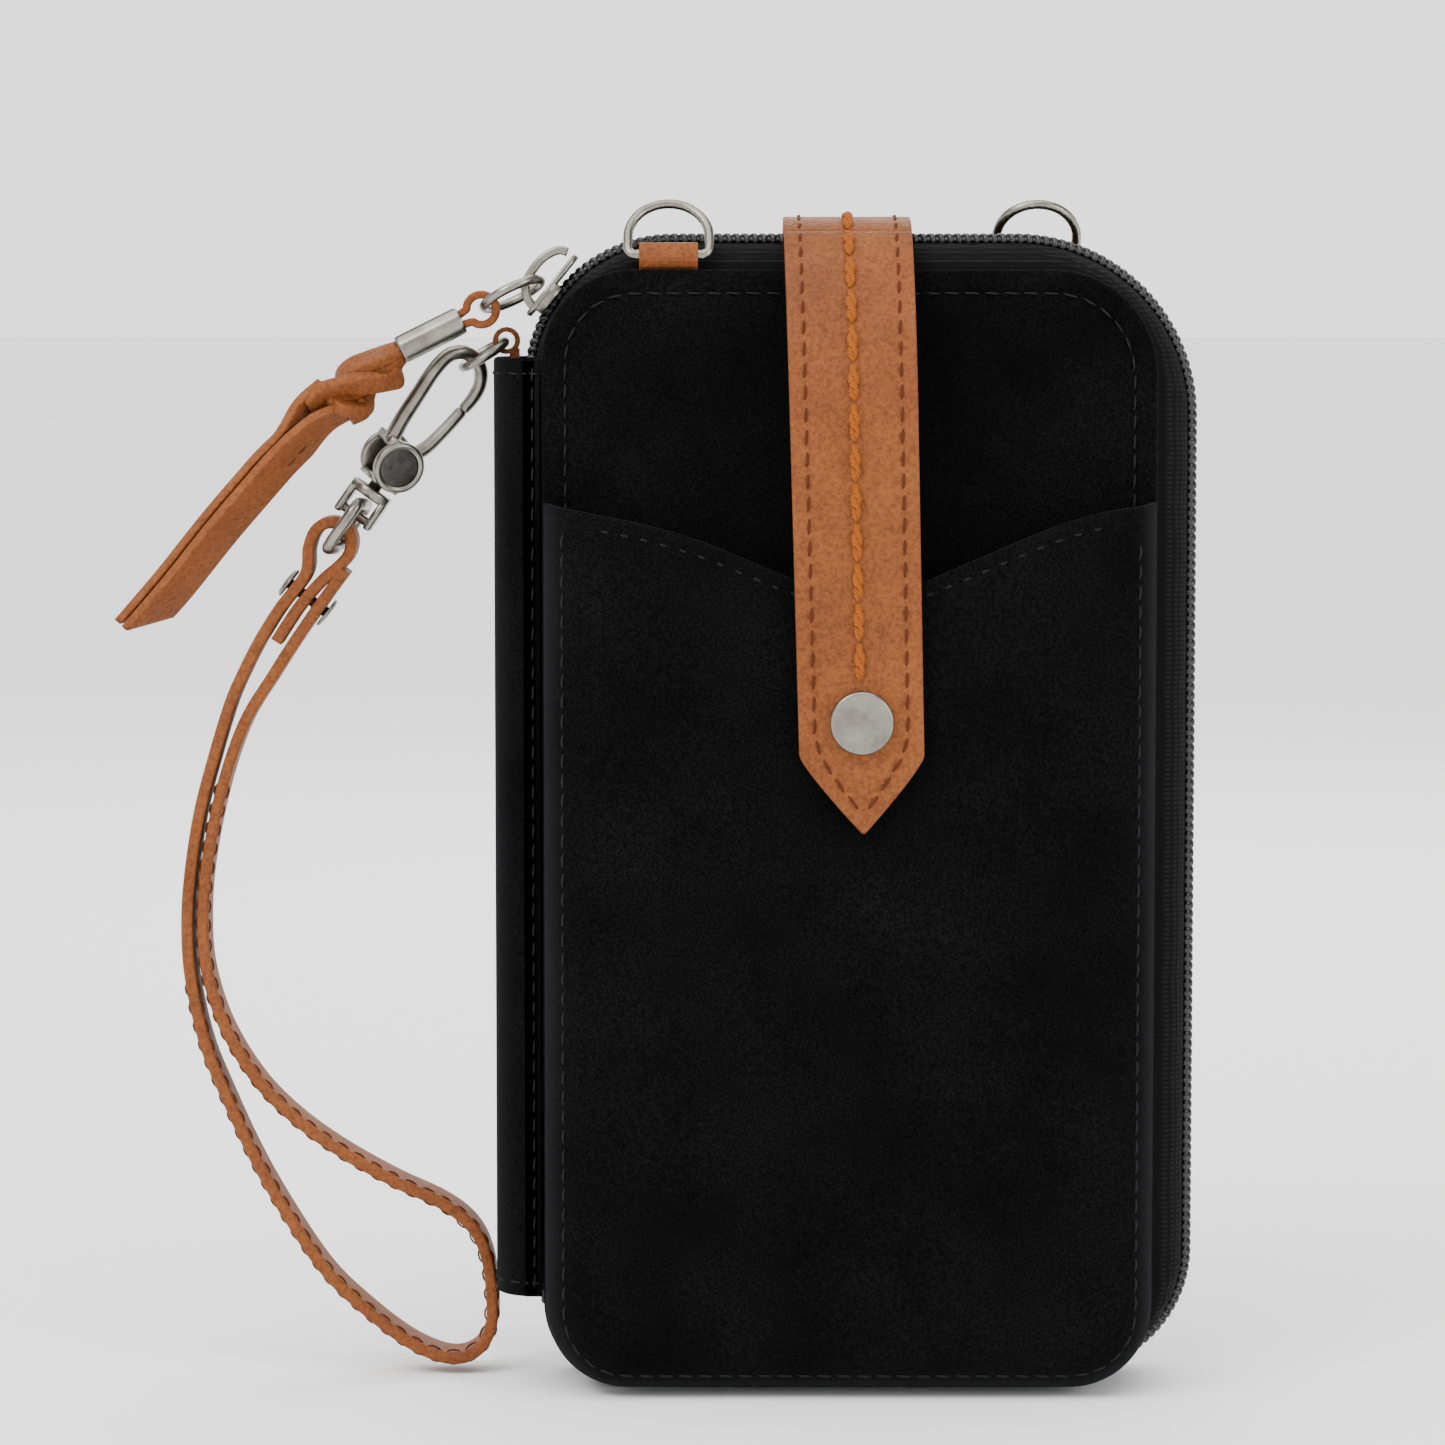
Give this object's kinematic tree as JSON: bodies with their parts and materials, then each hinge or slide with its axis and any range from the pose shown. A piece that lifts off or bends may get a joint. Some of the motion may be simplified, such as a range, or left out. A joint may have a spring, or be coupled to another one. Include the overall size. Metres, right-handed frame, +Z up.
{
  "type": "wristlet wallet",
  "caption": "Zip-around wristlet wallet with an outer phone pocket, a snap closure strap, small D-rings, a tasselled zip pull and a leather wrist strap on a swivel clasp.",
  "frame": {"origin": "middle of the wallet's base, where the zipper coil meets the ground", "axes": "+Z up along the spine, +X to the right seen from the front, -Y out of the front cover"},
  "size_m": [0.1665, 0.0361, 0.1827],
  "materials": {
    "black_suede": "black suede nap",
    "lining": "dark woven lining",
    "stiffener": "stiffening board",
    "zip_tape": "black woven zipper tape",
    "zip_coil": "black nylon coil",
    "tan_leather": "smooth tan leather",
    "accent_cord": "thick tan stitching thread",
    "nickel": "antique nickel"
  },
  "bodies": {
    "root": {"back_panel": "black_suede", "back_board": "stiffener", "back_lining": "lining", "card_slot_1": "lining", "card_slot_2": "lining", "card_slot_3": "lining", "card_slot_4": "lining", "spine_band": "black_suede", "zipper_tape_back": "zip_tape", "zipper_coil_back": "zip_coil", "zip_stop_top": "nickel", "zip_stop_bottom": "nickel", "d_ring_tab_right": "tan_leather", "strap_anchor": "tan_leather", "spine_loop": "tan_leather"},
    "front_cover": {"front_panel": "black_suede", "front_board": "stiffener", "front_lining": "lining", "inner_slip_pocket": "lining", "phone_pocket": "black_suede", "snap_stud": "nickel", "d_ring_tab_left": "tan_leather", "zipper_tape_front": "zip_tape", "zipper_coil_front": "zip_coil"},
    "strap_top": {"strap_bridge": "tan_leather"},
    "strap_flap": {"strap_face": "tan_leather", "strap_backing": "tan_leather", "strap_accent_cord": "accent_cord", "snap_cap": "nickel", "snap_socket": "nickel"},
    "zip_slider": {"zip_slider_body": "nickel"},
    "pull_link": {"pull_ring": "nickel"},
    "zip_pull": {"pull_loop": "tan_leather", "pull_ferrule": "nickel", "pull_knot": "tan_leather", "pull_tail_front": "tan_leather", "pull_tail_back": "tan_leather"},
    "ring_left": {"d_ring_left": "nickel"},
    "ring_right": {"d_ring_right": "nickel"},
    "side_link": {"side_ring": "nickel"},
    "clasp": {"clasp_body": "nickel", "clasp_pin": "nickel", "gate_spring": "nickel"},
    "gate": {"clasp_gate": "nickel"},
    "swivel": {"swivel_yoke": "nickel", "clevis_pin": "nickel"},
    "swivel_link": {"swivel_ring": "nickel"},
    "wrist_loop": {"wrist_strap": "tan_leather", "strap_rivet": "nickel"}
  },
  "joints": [
    {"name": "cover_hinge", "type": "hinge", "parent": "root", "child": "front_cover", "pos_m": [-0.04665, -0.0098, 0.086], "axis": [0, 0, -1], "range_deg": [0, 80], "deforming": ["zipper_tape_front", "zipper_coil_front"]},
    {"name": "strap_fold", "type": "hinge", "parent": "root", "child": "strap_top", "pos_m": [0.00015, 0.002, 0.1801], "axis": [-1, 0, 0], "range_deg": [0, 160]},
    {"name": "strap_lift", "type": "hinge", "parent": "strap_top", "child": "strap_flap", "pos_m": [0.0005, -0.01787, 0.1675], "axis": [-1, 0, 0], "range_deg": [0, 100]},
    {"name": "zipper_travel", "type": "hinge", "parent": "root", "child": "zip_slider", "pos_m": [-0.0265, 0, 0.1546], "axis": [0, 1, 0], "range_deg": [0, 22]},
    {"name": "pull_ring_swing", "type": "hinge", "parent": "zip_slider", "child": "pull_link", "pos_m": [-0.04689, 0, 0.1703], "axis": [0, 1, 0], "range_deg": [0, 25]},
    {"name": "pull_swing", "type": "hinge", "parent": "pull_link", "child": "zip_pull", "pos_m": [-0.05551, 0, 0.1661], "axis": [0, 1, 0], "range_deg": [0, 30]},
    {"name": "d_ring_left_swing", "type": "hinge", "parent": "front_cover", "child": "ring_left", "pos_m": [-0.0271, -0.0086, 0.1742], "axis": [-1, 0, 0], "range_deg": [-155, 0]},
    {"name": "d_ring_right_swing", "type": "hinge", "parent": "root", "child": "ring_right", "pos_m": [0.0297, 0.0086, 0.1742], "axis": [1, 0, 0], "range_deg": [-155, 0]},
    {"name": "side_ring_swing", "type": "hinge", "parent": "root", "child": "side_link", "pos_m": [-0.0525, 0.00425, 0.16088], "axis": [0, 1, 0], "range_deg": [0, 9]},
    {"name": "clasp_swing", "type": "hinge", "parent": "side_link", "child": "clasp", "pos_m": [-0.0591, 0.00425, 0.15692], "axis": [0, 1, 0], "range_deg": [0, 10]},
    {"name": "gate_open", "type": "hinge", "parent": "clasp", "child": "gate", "pos_m": [-0.0701, 0.0043, 0.1423], "axis": [-0.4096, 0.866, 0.2868], "range_deg": [-20, 0], "stiffness_Nm_per_rad": 0.02, "springref_deg": 17.19},
    {"name": "swivel_turn", "type": "hinge", "parent": "clasp", "child": "swivel", "pos_m": [-0.0701, 0.0043, 0.1423], "axis": [0.5736, 0, 0.8191], "range_deg": [-75, 75]},
    {"name": "swivel_ring_swing", "type": "hinge", "parent": "swivel", "child": "swivel_link", "pos_m": [-0.07466, 0.0043, 0.13579], "axis": [0.0714, 0.9962, -0.05], "range_deg": [0, 14]},
    {"name": "wrist_strap_swing", "type": "hinge", "parent": "swivel_link", "child": "wrist_loop", "pos_m": [-0.07951, 0.0043, 0.12887], "axis": [0, 1, 0], "range_deg": [0, 9]}
  ],
  "couplings": [
    {"joint": "strap_fold", "follows": "cover_hinge", "ratio": 2}
  ]
}
